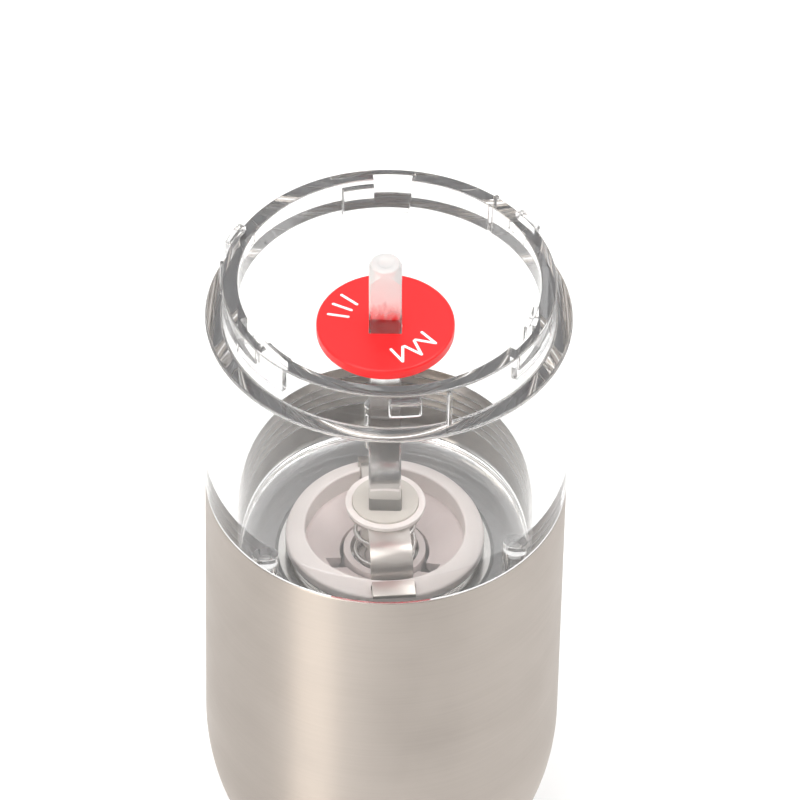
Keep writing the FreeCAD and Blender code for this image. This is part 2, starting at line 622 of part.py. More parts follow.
def catch_cup():
    """Liner that catches the ground pepper; its keys stop the hopper turning in the steel body."""
    out_inset = BODY_R - CUP_R
    in_inset = out_inset + CUP_WALL
    floor_z = CUP_UNDER_Z + 1.6
    soft = 3.0
    inner_r_low = cone_radius(floor_z + soft, in_inset)
    out_top, out_mid, out_end = side_arc(out_inset)
    in_top, in_mid, in_end = side_arc(in_inset)
    body = spun(
        (CUP_R, CUP_RIM_Z),
        out_top,
        (out_mid, out_end),
        (cone_radius(CUP_UNDER_Z, out_inset), CUP_UNDER_Z),
        (0, CUP_UNDER_Z),
        (0, floor_z),
        (inner_r_low - soft, floor_z),
        ((inner_r_low - soft * 0.35, floor_z + soft * 0.3), (inner_r_low, floor_z + soft)),
        in_end,
        (in_mid, in_top),
        (CUP_R - CUP_WALL, CUP_RIM_Z),
    )
    key = block(CUP_R - CUP_WALL - 0.5, CUP_R - 0.1, -KEY_W / 2, KEY_W / 2, CUP_RIM_Z - 4, KEY_TOP_Z)
    pillar = disc(2.75, BASE_PLUG_Z + 0.05, CUP_UNDER_Z + 0.5, BASE_SCREW_RING_R)
    pilot = disc(1.05, BASE_PLUG_Z - 0.4, CUP_UNDER_Z - 0.3, BASE_SCREW_RING_R)
    body = body.fuse(at_each(key, NUB_ANGLES) + at_each(pillar, HUB_ANGLES))
    return body.cut(at_each(pilot, HUB_ANGLES))


def base_plate():
    """Plastic disc that closes the steel body's foot and holds the rubber ring."""
    plug_r = SHELL_LIP_R - 0.2
    plate = disc(BASE_FLANGE_R, BASE_UNDER_Z, SHELL_FOOT_Z)
    plate = plate.fuse(disc(plug_r, BASE_UNDER_Z, BASE_PLUG_Z))
    groove = tube(FOOT_IN_R, FOOT_OUT_R, BASE_UNDER_Z - 1, SHELL_FOOT_Z - 0.2)
    hole = disc(1.25, 0, BASE_PLUG_Z + 1, BASE_SCREW_RING_R)
    sink = Part.makeCone(2.3, 1.25, 1.1, vec(BASE_SCREW_RING_R, 0, BASE_UNDER_Z))
    return plate.cut([groove] + at_each(hole, HUB_ANGLES) + at_each(sink, HUB_ANGLES))


def base_screws():
    """Three countersunk screws from the base plate up into the catch cup's pillars."""
    head = Part.makeCone(2.15, 1.1, 1.1, vec(BASE_SCREW_RING_R, 0, BASE_UNDER_Z + 0.1))
    shank = disc(1.0, BASE_UNDER_Z + 1, CUP_UNDER_Z - 0.6, BASE_SCREW_RING_R)
    recess = cross_recess(BASE_UNDER_Z - 1, BASE_UNDER_Z + 0.8, 1.1)
    recess.translate(vec(BASE_SCREW_RING_R, 0, 0))
    return Part.Compound(at_each(head.fuse(shank).cut(recess), HUB_ANGLES))


def foot_ring():
    """Rubber ring that the mill stands on."""
    return spun(
        (FOOT_IN_R, SHELL_FOOT_Z - 0.2),
        (FOOT_OUT_R, SHELL_FOOT_Z - 0.2),
        (FOOT_OUT_R, 0.3),
        (FOOT_OUT_R - 0.3, 0),
        (FOOT_IN_R + 0.3, 0),
        (FOOT_IN_R, 0.3),
    )


PARTS = (
    hopper, coupling_ring, seal_ring, hopper_screws, floor_gasket,
    grinder_housing, housing_clip, stator, rotor, thrust_ball, spring_washer, rotor_spring,
    bridge, spider, lifter, adjuster_knob, knob_clip,
    drive_shaft, fill_disc, shaft_bush, bush_washer, bush_clip, spindle,
    steel_shell, catch_cup, base_plate, base_screws, foot_ring,
)

os.makedirs("parts", exist_ok=True)
for make in PARTS:
    shape = make()
    if not shape.isValid():
        print("not valid:", make.__name__)
    shape.exportStep("parts/" + make.__name__ + ".step")
    print(make.__name__, len(shape.Solids), round(shape.Volume, 1))
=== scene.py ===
"""Looks for the pepper mill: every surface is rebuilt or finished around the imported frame.

Metres, in the frame's own axes: +Z up along the mill's axis, the table at z = 0. Sizes below are
written in millimetres, as on a drawing, and turned into metres where a mesh is made.
"""

import json
import math

import bmesh
import bpy
from mathutils import Matrix, Vector

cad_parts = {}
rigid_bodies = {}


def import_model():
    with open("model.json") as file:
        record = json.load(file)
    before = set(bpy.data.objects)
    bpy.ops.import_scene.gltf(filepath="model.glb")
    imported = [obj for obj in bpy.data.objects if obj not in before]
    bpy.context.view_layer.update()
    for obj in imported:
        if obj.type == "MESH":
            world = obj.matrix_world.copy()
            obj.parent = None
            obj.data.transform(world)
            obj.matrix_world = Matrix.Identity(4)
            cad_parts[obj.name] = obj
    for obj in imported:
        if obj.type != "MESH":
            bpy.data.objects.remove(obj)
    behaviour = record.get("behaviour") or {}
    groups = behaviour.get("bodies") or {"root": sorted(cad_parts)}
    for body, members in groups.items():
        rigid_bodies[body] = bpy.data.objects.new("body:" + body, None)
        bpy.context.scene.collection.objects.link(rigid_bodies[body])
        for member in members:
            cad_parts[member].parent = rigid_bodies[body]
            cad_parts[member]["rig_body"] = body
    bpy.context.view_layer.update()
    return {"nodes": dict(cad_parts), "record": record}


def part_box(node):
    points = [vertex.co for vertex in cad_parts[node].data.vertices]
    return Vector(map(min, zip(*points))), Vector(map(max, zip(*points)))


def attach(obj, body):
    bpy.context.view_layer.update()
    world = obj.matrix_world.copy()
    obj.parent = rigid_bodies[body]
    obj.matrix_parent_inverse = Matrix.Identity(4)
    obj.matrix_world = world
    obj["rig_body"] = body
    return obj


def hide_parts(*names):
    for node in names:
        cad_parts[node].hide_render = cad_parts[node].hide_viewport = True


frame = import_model()
NODES = frame["nodes"]
MM = 0.001


def box_mm(node):
    """A node's lowest and highest corners in millimetres."""
    low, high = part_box(node)
    return low / MM, high / MM


# ---- sizes in millimetres, from the frame where it has them -------------------------------------
BODY_R = box_mm("steel_shell")[1].x
RIM_Z = box_mm("steel_shell")[1].z
COLLAR_TOP_Z = box_mm("hopper")[1].z
FLOOR_UNDER_Z = box_mm("hopper")[0].z
FLOOR_TOP_Z = box_mm("floor_gasket")[0].z
DISC_TOP_Z = box_mm("fill_disc")[1].z
DISC_UNDER_Z = box_mm("fill_disc")[0].z
DISC_R = box_mm("fill_disc")[1].x
SHAFT_FOOT_Z = box_mm("drive_shaft")[0].z
SPRING_LO, SPRING_HI = box_mm("rotor_spring")

COLLAR_R = 28.15
COLLAR_H = 7.45
SHOULDER_Z = COLLAR_TOP_Z - COLLAR_H
BORE_R = 25.5
SPIGOT_R = 30.2             # the hopper's lower end, inside the steel
FLOOR_HOLE_R = 16.4
SKIN = 0.04                 # air left where the clear hopper rests on another piece
GROOVES = 4                 # moulded rings round the spigot
GROOVE_PITCH = 1.8
GROOVE_DEPTH = 0.4
GROOVE_HALF_W = 0.45
NUB_ANGLES = (36.0, 156.0, 276.0)   # bayonet nubs outside the collar
NUB_PROUD = 1.5
NUB_HALF_W = 2.7
RIB_AHEAD = 15.3            # degrees from a nub to the rib that stops it
RIB_PROUD = 0.8
HUB_ANGLES = (96.0, 216.0, 336.0)   # lugs inside the collar, and the posts below them
LUG_PROUD = 1.0
POST_RING_R = 23.1
POST_R = 1.8
POST_TOP_Z = COLLAR_TOP_Z - 49.0
PILOT_R = 1.0
DISC_HOLE_HALF = 2.82
DISC_HUB_R = 4.6
DISC_HUB_H = 1.3
ROUND = 256                 # flats around a large turned piece

SHELL_ARC_TOP_Z = 37.7      # where the steel starts to round in, and the radius it does it with
SHELL_ARC_R = 50.0
SHELL_ARC_SWEEP = 20.7      # degrees it rounds in by, before it runs on as a cone to the foot
SHELL_WALL = 0.7
SHELL_FOOT_Z = 1.2
SHELL_LIP_R = 17.5


# ---- mesh helpers -------------------------------------------------------------------------------
def rounded(corners, steps=6):
    """Outline points from (r, z, fillet) corners, each fillet an arc of a few steps."""
    points = []
    count = len(corners)
    for index, (r, z, fillet) in enumerate(corners):
        here = Vector((r, z))
        if fillet == 0:
            points.append((r, z))
            continue
        before = (Vector(corners[index - 1][:2]) - here).normalized()
        after = (Vector(corners[(index + 1) % count][:2]) - here).normalized()
        half = before.angle(after) / 2
        reach = fillet / math.tan(half)
        centre = here + (before + after).normalized() * (fillet / math.sin(half))
        start = here + before * reach - centre
        end = here + after * reach - centre
        for step in range(steps + 1):
            spoke = start.lerp(end, step / steps).normalized()
            points.append(tuple(centre + spoke * fillet))
    return points


def new_object(name, bm, smooth_angle=32.0):
    """A Blender object from a bmesh in millimetres, smooth except at its sharp edges."""
    bmesh.ops.recalc_face_normals(bm, faces=bm.faces)
    mesh = bpy.data.meshes.new(name)
    bm.to_mesh(mesh)
    bm.free()
    mesh.transform(Matrix.Scale(MM, 4))
    mesh.shade_smooth()
    mesh.set_sharp_from_angle(angle=math.radians(smooth_angle))
    piece = bpy.data.objects.new(name, mesh)
    bpy.context.scene.collection.objects.link(piece)
    return piece


def true_normals(piece):
    """Gives level faces and faces turned about the mill's axis their exact normals.

    The clear walls bend light by their normals, so averaged ones would warp what is seen through.
    """
    mesh = piece.data
    normals = [corner.vector.copy() for corner in mesh.corner_normals]
    for face in mesh.polygons:
        outward = Vector((face.center.x, face.center.y, 0)).normalized()
        facing = face.normal.dot(outward)
        for loop in face.loop_indices:
            if abs(face.normal.z) > 0.9999:
                normals[loop] = face.normal.copy()
            elif abs(facing) > 0.9995:
                spot = mesh.vertices[mesh.loops[loop].vertex_index].co
                normals[loop] = Vector((spot.x, spot.y, 0)).normalized() * math.copysign(1, facing)
    mesh.normals_split_custom_set(normals)


def lathe(outline, segments=ROUND, centre=(0.0, 0.0)):
    """A bmesh turned from a closed (r, z) outline about a vertical axis."""
    bm = bmesh.new()
    rings = []
    for segment in range(segments):
        angle = 2 * math.pi * segment / segments
        across = math.cos(angle)
        along = math.sin(angle)
        rings.append([bm.verts.new((centre[0] + r * across, centre[1] + r * along, z)) for r, z in outline])
    count = len(outline)
    for segment in range(segments):
        here = rings[segment]
        there = rings[(segment + 1) % segments]
        for index in range(count):
            after = (index + 1) % count
            bm.faces.new((here[index], there[index], there[after], here[after]))
    bmesh.ops.remove_doubles(bm, verts=bm.verts, dist=1e-5)
    return bm


def solid_lathe(outline, segments=ROUND, centre=(0.0, 0.0)):
    """A turned solid whose outline starts and ends on the axis."""
    bm = lathe(outline, segments, centre)
    loose = [face for face in bm.faces if face.calc_area() < 1e-9]
    bmesh.ops.delete(bm, geom=loose, context="FACES_ONLY")
    return bm


def bevelled_box(x0, x1, y0, y1, z0, z1, bevel, slices=1):
    """A bmesh box with rounded edges, sliced along Y."""
    bm = bmesh.new()
    place = Matrix.Translation(((x0 + x1) / 2, (y0 + y1) / 2, (z0 + z1) / 2))
    size = Matrix.Diagonal((x1 - x0, y1 - y0, z1 - z0, 1))
    bmesh.ops.create_cube(bm, size=1.0, matrix=place @ size)
    if bevel:
        bmesh.ops.bevel(bm, geom=bm.edges[:], offset=bevel, segments=3, profile=0.5, affect="EDGES")
    for cut in range(1, slices):
        y = y0 + (y1 - y0) * cut / slices
        bmesh.ops.bisect_plane(bm, geom=bm.verts[:] + bm.edges[:] + bm.faces[:],
                               plane_co=(0, y, 0), plane_no=(0, 1, 0))
    return bm


def wrapped(bm, at_r):
    """Bends a bmesh made at +X round the mill's axis: its Y becomes length along a circle."""
    for vert in bm.verts:
        angle = vert.co.y / at_r
        vert.co = Vector((vert.co.x * math.cos(angle), vert.co.x * math.sin(angle), vert.co.z))
    return bm


def sector(r0, r1, z0, z1, start, end, bevel):
    """A curved block between two angles in degrees."""
    mid_r = (r0 + r1) / 2
    length = [math.radians(angle) * mid_r for angle in (start, end)]
    return wrapped(bevelled_box(r0, r1, length[0], length[1], z0, z1, bevel, slices=24), mid_r)


def merged(parts):
    """One bmesh from several (bmesh, angle) pairs, each turned about the axis."""
    whole = bmesh.new()
    for part, angle in parts:
        turn = Matrix.Rotation(math.radians(angle), 4, "Z")
        scratch = bpy.data.meshes.new("scratch")
        part.to_mesh(scratch)
        scratch.transform(turn)
        whole.from_mesh(scratch)
        bpy.data.meshes.remove(scratch)
    return whole


def boolean(piece, bm, operation):
    """Joins or cuts a bmesh in millimetres with a piece, and keeps the result as its mesh."""
    tool = new_object("tool", bm)
    modifier = piece.modifiers.new("boolean", "BOOLEAN")
    modifier.operation = operation
    modifier.solver = "EXACT"
    modifier.object = tool
    view_layer = bpy.context.view_layer
    view_layer.update()
    result = bpy.data.meshes.new_from_object(piece.evaluated_get(view_layer.depsgraph))
    piece.modifiers.clear()
    piece.data = result
    bpy.data.objects.remove(tool)
    result.shade_smooth()
    result.set_sharp_from_angle(angle=math.radians(32))


def finished(node, bevel, name=None):
    """A copy of a CAD node with its flat faces joined up and its sharp edges broken."""
    bm = bmesh.new()
    bm.from_mesh(NODES[node].data)
    bmesh.ops.scale(bm, vec=(1 / MM,) * 3, verts=bm.verts)
    bmesh.ops.remove_doubles(bm, verts=bm.verts, dist=0.002)
    bmesh.ops.dissolve_limit(bm, angle_limit=math.radians(1.0), verts=bm.verts, edges=bm.edges)
    if bevel:
        sharp = [e for e in bm.edges if len(e.link_faces) == 2 and e.calc_face_angle(0) > math.radians(35)]
        bmesh.ops.bevel(bm, geom=sharp, offset=bevel, segments=2, profile=0.6, affect="EDGES",
                        clamp_overlap=True)
    return new_object(name or node + "_finished", bm)


def place(piece, node, material):
    """The piece stands for a CAD node: it joins the node's body and takes the given material, and the node
    is hidden.
    """
    piece.data.materials.clear()
    piece.data.materials.append(material)
    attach(piece, NODES[node]["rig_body"])
    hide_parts(node)


# ---- shader helpers -----------------------------------------------------------------------------
def new_material(name, **values):
    """A Principled material with plain values on the shader's own sockets."""
    material = bpy.data.materials.new(name)
    material.use_nodes = True
    shader = material.node_tree.nodes["Principled BSDF"]
    for socket, value in values.items():
        shader.inputs[socket.replace("_", " ")].default_value = value
    return material, material.node_tree, shader


def streaks(tree, scale, detail=3.0, roughness=0.6):
    """Noise in object space, stretched by a scale for each axis."""
    coords = tree.nodes.new("ShaderNodeTexCoord")
    mapping = tree.nodes.new("ShaderNodeMapping")
    mapping.inputs["Scale"].default_value = scale
    noise = tree.nodes.new("ShaderNodeTexNoise")
    noise.inputs["Scale"].default_value = 1.0
    noise.inputs["Detail"].default_value = detail
    noise.inputs["Roughness"].default_value = roughness
    tree.links.new(coords.outputs["Object"], mapping.inputs["Vector"])
    tree.links.new(mapping.outputs["Vector"], noise.inputs["Vector"])
    return noise.outputs["Fac"]


def remap(tree, source, low, high, start=0.3, end=0.7):
    """A noise value brought to a range."""
    node = tree.nodes.new("ShaderNodeMapRange")
    node.inputs["From Min"].default_value = start
    node.inputs["From Max"].default_value = end
    node.inputs["To Min"].default_value = low
    node.inputs["To Max"].default_value = high
    tree.links.new(source, node.inputs["Value"])
    return node.outputs["Result"]


def two_tones(tree, source, dark, light, start=0.35, end=0.65):
    """A colour between two tones, picked by a noise value."""
    ramp = tree.nodes.new("ShaderNodeValToRGB")
    ramp.color_ramp.elements[0].position = start
    ramp.color_ramp.elements[0].color = (*dark, 1.0)
    ramp.color_ramp.elements[1].position = end
    ramp.color_ramp.elements[1].color = (*light, 1.0)
    tree.links.new(source, ramp.inputs["Fac"])
    return ramp.outputs["Color"]


def relief(tree, shader, source, strength, depth):
    """Bump on the shader from a noise value; depth is in metres."""
    bump = tree.nodes.new("ShaderNodeBump")
    bump.inputs["Strength"].default_value = strength
    bump.inputs["Distance"].default_value = depth
    tree.links.new(source, bump.inputs["Height"])
    tree.links.new(bump.outputs["Normal"], shader.inputs["Normal"])


# ---- materials ----------------------------------------------------------------------------------
def clear_acrylic(name, smoothest=0.0, roughest=0.012):
    """Clear plastic, polished but for faint patches of haze."""
    material, tree, shader = new_material(name, Base_Color=(0.99, 0.99, 0.988, 1), IOR=1.49)
    shader.inputs["Transmission Weight"].default_value = 1.0
    haze = streaks(tree, (60, 60, 60))
    tree.links.new(remap(tree, haze, smoothest, roughest, 0.45, 0.8), shader.inputs["Roughness"])
    return material


def shaft_acrylic():
    """The shaft's clear plastic: a little frosted all over, and milky white higher up, above a ragged edge.
    """
    material = clear_acrylic("shaft_acrylic", smoothest=0.06, roughest=0.12)
    tree = material.node_tree
    shader = tree.nodes["Principled BSDF"]
    shader.inputs["Base Color"].default_value = (0.80, 0.795, 0.79, 1)
    coords = tree.nodes.new("ShaderNodeTexCoord")
    axes = tree.nodes.new("ShaderNodeSeparateXYZ")
    tree.links.new(coords.outputs["Object"], axes.inputs["Vector"])
    # the milky part sets in between about 2.5 and 6.5 mm above the disc, along a ragged edge
    uneven = tree.nodes.new("ShaderNodeMath")
    uneven.operation = "MULTIPLY_ADD"
    uneven.inputs[1].default_value = 6.0 * MM
    tree.links.new(streaks(tree, (700, 700, 250)), uneven.inputs[0])
    tree.links.new(axes.outputs["Z"], uneven.inputs[2])
    start = (DISC_TOP_Z + 5.5) * MM
    end = (DISC_TOP_Z + 9.5) * MM
    clarity = remap(tree, uneven.outputs["Value"], 1.0, 0.42, start, end)
    tree.links.new(clarity, shader.inputs["Transmission Weight"])
    return material


def brushed_steel():
    """Stainless steel brushed round the body, so highlights stretch up and down it."""
    material, tree, shader = new_material("brushed_steel", Metallic=1.0)
    shader.inputs["Anisotropic"].default_value = 0.95
    shader.inputs["Anisotropic Rotation"].default_value = 0.25
    fine = streaks(tree, (40, 40, 7000), detail=3.0)
    broad = streaks(tree, (55, 55, 2600), detail=2.0)
    tone = two_tones(tree, broad, (0.425, 0.385, 0.351), (0.45, 0.408, 0.373), 0.2, 0.8)
    tree.links.new(tone, shader.inputs["Base Color"])
    clouds = streaks(tree, (38, 38, 55), detail=5.0)
    tree.links.new(remap(tree, clouds, 0.35, 0.48), shader.inputs["Roughness"])
    relief(tree, shader, fine, 0.1, 0.000006)
    tangent = tree.nodes.new("ShaderNodeTangent")
    tangent.direction_type = "RADIAL"
    tangent.axis = "Z"
    tree.links.new(tangent.outputs["Tangent"], shader.inputs["Tangent"])
    return material


def strip_steel(name, roughness, tone):
    """Rolled strip or drawn wire, with a faint grain."""
    material, tree, shader = new_material(name, Metallic=1.0)
    grain = streaks(tree, (9000, 300, 300))
    darker = tuple(0.96 * part for part in tone)
    tree.links.new(two_tones(tree, grain, darker, tone), shader.inputs["Base Color"])
    tree.links.new(remap(tree, grain, roughness, roughness + 0.08), shader.inputs["Roughness"])
    relief(tree, shader, grain, 0.05, 0.000002)
    return material


def moulded(name, tone, roughness, grain=0.0, coat=0.0):
    """Moulded plastic or ceramic with a slightly uneven tone and skin."""
    material, tree, shader = new_material(name)
    clouds = streaks(tree, (180, 180, 180), detail=4.0)
    darker = tuple(0.95 * part for part in tone)
    tree.links.new(two_tones(tree, clouds, darker, tone), shader.inputs["Base Color"])
    tree.links.new(remap(tree, clouds, roughness - 0.04, roughness + 0.06), shader.inputs["Roughness"])
    if grain:
        fine = streaks(tree, (4000, 4000, 4000))
        relief(tree, shader, fine, grain, 0.00003)
    if coat:
        shader.inputs["Coat Weight"].default_value = coat
    return material


CLEAR = clear_acrylic("clear_acrylic")
SHAFT_CLEAR = shaft_acrylic()
STEEL = brushed_steel()
STRIP = strip_steel("strip_steel", 0.32, (0.56, 0.52, 0.485))
SPRING = strip_steel("spring_steel", 0.18, (0.60, 0.58, 0.56))
SCREW = strip_steel("screw_steel", 0.3, (0.6, 0.6, 0.6))
RED = moulded("red_plastic", (0.93, 0.006, 0.008), 0.35)
INK = moulded("white_ink", (0.9, 0.86, 0.88), 0.4)
WHITE = moulded("white_plastic", (0.95, 0.89, 0.86), 0.4)
CERAMIC = moulded("burr_ceramic", (0.92, 0.82, 0.80), 0.5, grain=0.2)
BUSH = moulded("bush_plastic", (0.66, 0.62, 0.56), 0.4)
GREY = moulded("liner_plastic", (0.33, 0.335, 0.345), 0.45, grain=0.2)
DARK = moulded("dark_plastic", (0.03, 0.03, 0.032), 0.5, grain=0.4)
RUBBER = moulded("foot_rubber", (0.025, 0.025, 0.025), 0.75, grain=0.6)
SILICONE = moulded("silicone", (0.6, 0.6, 0.58), 0.45)

BY_SLOT = {
    "clear_acrylic": CLEAR,
    "brushed_steel": STEEL,
    "liner_plastic": GREY,
    "dark_plastic": DARK,
    "screw_steel": SCREW,
    "foot_rubber": RUBBER,
    "silicone": SILICONE,
    "white_plastic": WHITE,
    "spring_steel": SPRING,
    "burr_ceramic": CERAMIC,
    "strip_steel": STRIP,
    "red_plastic": RED,
    "bush_plastic": BUSH,
}

for part in frame["record"]["subparts"]:
    node = NODES[part["node"]]
    node.data.materials.clear()
    node.data.materials.append(BY_SLOT[part["material_slot"]])


# ---- the clear hopper ---------------------------------------------------------------------------
def hopper_outline():
    """Collar, shoulder, wall, grooved spigot and floor, as one closed outline."""
    corners = [
        (BORE_R, COLLAR_TOP_Z, 0.22),
        (COLLAR_R, COLLAR_TOP_Z, 0.3),
        (COLLAR_R, SHOULDER_Z, 0.35),
        (BODY_R, SHOULDER_Z, 0.45),
        (BODY_R, RIM_Z + 0.05, 0.12),
        (SPIGOT_R, RIM_Z + 0.05, 0.0),
    ]
    for groove in range(GROOVES):
        z = RIM_Z - 2.0 - GROOVE_PITCH * groove
        corners += [
            (SPIGOT_R, z + GROOVE_HALF_W, 0.1),
            (SPIGOT_R - GROOVE_DEPTH, z, 0.15),
            (SPIGOT_R, z - GROOVE_HALF_W, 0.1),
        ]
    under = FLOOR_UNDER_Z + SKIN
    corners += [
        (SPIGOT_R, under, 0.3),
        (FLOOR_HOLE_R, under, 0.0),
        (FLOOR_HOLE_R, FLOOR_TOP_Z - SKIN, 0.15),
        (BORE_R, FLOOR_TOP_Z - SKIN, 3.0),
    ]
    return rounded(corners)


def bayonet_nub():
    low = COLLAR_TOP_Z - 3.9
    high = COLLAR_TOP_Z - 0.5
    return wrapped(bevelled_box(COLLAR_R - 1, COLLAR_R + NUB_PROUD, -NUB_HALF_W, NUB_HALF_W,
                                low, high, 0.55, slices=8), COLLAR_R)


def stop_rib():
    low = SHOULDER_Z - 0.6
    high = COLLAR_TOP_Z - 0.4
    return bevelled_box(COLLAR_R - 1, COLLAR_R + RIB_PROUD, -0.4, 0.4, low, high, 0.25)


def inner_lug():
    low = COLLAR_TOP_Z - 6.8
    high = COLLAR_TOP_Z - 0.9
    return sector(BORE_R - LUG_PROUD, BORE_R + 0.8, low, high, -13.3, 13.5, 0.2)


def lug_pocket():
    """The recess above half of a lug, where the head's hook drops in."""
    low = COLLAR_TOP_Z - 4.2
    high = COLLAR_TOP_Z + 1
    return sector(BORE_R - 2.0, BORE_R + 1.3, low, high, -13.6, 1.0, 0.15)


def screw_post():
    foot = FLOOR_TOP_Z - 1
    outline = rounded([(0, POST_TOP_Z, 0), (POST_R, POST_TOP_Z, 0.35), (POST_R, foot, 0), (0, foot, 0)])
    return solid_lathe(outline, 48, centre=(POST_RING_R, 0))


def screw_pilot():
    top = POST_TOP_Z - 2.5
    foot = FLOOR_UNDER_Z - 1
    outline = [(0, top), (PILOT_R, top), (PILOT_R, foot), (0, foot)]
    return solid_lathe(outline, 32, centre=(POST_RING_R, 0))


def build_hopper():
    """The turned wall, with what stands on it joined on and what is cut from it taken away."""
    hopper = new_object("hopper_clear", lathe(hopper_outline()))
    nub = bayonet_nub()
    rib = stop_rib()
    lug = inner_lug()
    post = screw_post()
    web = bevelled_box(POST_RING_R, BORE_R + 0.8, -0.6, 0.6, FLOOR_TOP_Z - 1, POST_TOP_Z - 1.0, 0.15)
    raised = [(nub, angle) for angle in NUB_ANGLES]
    raised += [(rib, angle + RIB_AHEAD) for angle in NUB_ANGLES]
    raised += [(piece, angle) for piece in (lug, post) for angle in HUB_ANGLES]
    boolean(hopper, merged(raised), "UNION")
    boolean(hopper, merged([(web, angle) for angle in HUB_ANGLES]), "UNION")
    pocket = lug_pocket()
    pilot = screw_pilot()
    cuts = [(piece, angle) for piece in (pocket, pilot) for angle in HUB_ANGLES]
    boolean(hopper, merged(cuts), "DIFFERENCE")
    true_normals(hopper)
    place(hopper, "hopper", CLEAR)


# ---- the drive: shaft, disc and its print ---------------------------------------------------------
LEAN_PIVOT = Vector((0, 0, SHAFT_FOOT_Z))
SHAFT_LEAN = Matrix.Rotation(math.radians(-0.75), 4, "Y")      # the shaft stands a little loose
DISC_TILT = Matrix.Rotation(math.radians(2.2), 4, "X")         # and the disc sags on it


def leaned(piece, extra=None):
    """Leans a finished piece with the shaft, and tilts it about the disc's middle if asked."""
    steps = Matrix.Identity(4)
    if extra is not None:
        middle = Matrix.Translation(Vector((0, 0, DISC_TOP_Z)) * MM)
        steps = middle @ extra @ middle.inverted()
    foot = Matrix.Translation(LEAN_PIVOT * MM)
    piece.data.transform(foot @ SHAFT_LEAN @ foot.inverted() @ steps)


def build_shaft():
    """The square shaft with its edges broken, leaned a little."""
    shaft = finished("drive_shaft", 0.16, "shaft_clear")
    leaned(shaft)
    place(shaft, "drive_shaft", SHAFT_CLEAR)


def build_disc():
    """Red disc with a short hub under it, and the square hole that fits the shaft."""
    hub_under_z = DISC_UNDER_Z - DISC_HUB_H
    outline = rounded([
        (0, DISC_TOP_Z, 0),
        (DISC_R, DISC_TOP_Z, 0.45),
        (DISC_R, DISC_UNDER_Z, 0.3),
        (DISC_HUB_R, DISC_UNDER_Z, 0),
        (DISC_HUB_R, hub_under_z, 0.3),
        (0, hub_under_z, 0),
    ])
    disc = new_object("disc_red", solid_lathe(outline, 192))
    half = DISC_HOLE_HALF
    hole = bevelled_box(-half, half, -half, half, hub_under_z - 2, DISC_TOP_Z + 2, 0.2)
    boolean(disc, hole, "DIFFERENCE")
    true_normals(disc)
    leaned(disc, DISC_TILT)
    place(disc, "fill_disc", RED)


def stroke(points, width):
    """A flat printed stroke with round ends, as a thin solid just above the disc's face."""
    bm = bmesh.new()
    steps = 10
    low = DISC_TOP_Z + 0.004
    high = DISC_TOP_Z + 0.024
    for start, end in zip(points, points[1:]):
        a = Vector(start)
        b = Vector(end)
        along = (b - a).normalized()
        rim = []
        for centre, facing in ((b, 0.0), (a, math.pi)):
            for step in range(steps + 1):
                angle = math.atan2(along.y, along.x) + facing - math.pi / 2 + math.pi * step / steps
                rim.append(centre + Vector((math.cos(angle), math.sin(angle))) * width / 2)
        top = [bm.verts.new((p.x, p.y, high)) for p in rim]
        bottom = [bm.verts.new((p.x, p.y, low)) for p in rim]
        bm.faces.new(top)
        bm.faces.new(list(reversed(bottom)))
        for index in range(len(rim)):
            after = (index + 1) % len(rim)
            bm.faces.new((top[index], bottom[index], bottom[after], top[after]))
        high += 0.002
    return bm


def polar(r, angle):
    """A point on the disc from a radius and an angle in degrees."""
    angle = math.radians(angle)
    return (r * math.cos(angle), r * math.sin(angle))


def build_print():
    """Plain level marks in place of words: three bars on one side, three chevrons on the other."""
    width = 0.5
    marks = []
    for angle in (140.0, 155.0, 170.0):
        marks.append(stroke([polar(6.4, angle), polar(9.8, angle)], width))
    for angle in (288.0, 309.0, 330.0):
        tip = polar(9.8, angle)
        marks.append(stroke([polar(6.6, angle - 9), tip, polar(6.6, angle + 9)], width))
    printed = new_object("disc_print", merged([(mark, 0.0) for mark in marks]))
    leaned(printed, DISC_TILT)
    printed.data.materials.append(INK)
    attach(printed, "drive")


# ---- burr set -------------------------------------------------------------------------------------
def build_spring():
    """Open coil spring with a closed, flat turn at each end."""
    wire_r = 0.4
    mean_r = 5.1
    low = SPRING_LO.z + wire_r
    high = SPRING_HI.z - wire_r
    dead = 0.9                  # closed turns at each end
    active = 2.0
    rise = 0.85                 # how far a closed turn climbs
    per_turn = 72
    total = active + 2 * dead
    count = int(total * per_turn)
    path = []
    for step in range(count + 1):
        turn = total * step / count
        if turn < dead:
            z = low + rise * turn
        elif turn > total - dead:
            z = high - rise * (total - turn)
        else:
            share = (turn - dead) / active
            eased = share * share * (3 - 2 * share) * 0.35 + share * 0.65
            z = low + rise * dead + (high - low - 2 * rise * dead) * eased
        angle = math.radians(200) + 2 * math.pi * turn
        path.append(Vector((mean_r * math.cos(angle), mean_r * math.sin(angle), z)))
    bm = bmesh.new()
    sides = 14
    rings = []
    for index, point in enumerate(path):
        ahead = path[min(index + 1, count)]
        behind = path[max(index - 1, 0)]
        along = (ahead - behind).normalized()
        out = Vector((point.x, point.y, 0)).normalized()
        out = (out - along * out.dot(along)).normalized()
        side = along.cross(out)
        ring = []
        for corner in range(sides):
            angle = 2 * math.pi * corner / sides
            ring.append(bm.verts.new(point + (out * math.cos(angle) + side * math.sin(angle)) * wire_r))
        rings.append(ring)
    for here, there in zip(rings, rings[1:]):
        for corner in range(sides):
            after = (corner + 1) % sides
            bm.faces.new((here[corner], there[corner], there[after], here[after]))
    bm.faces.new(rings[0])
    bm.faces.new(list(reversed(rings[-1])))
    spring = new_object("spring_coil", bm, 60)
    place(spring, "rotor_spring", SPRING)


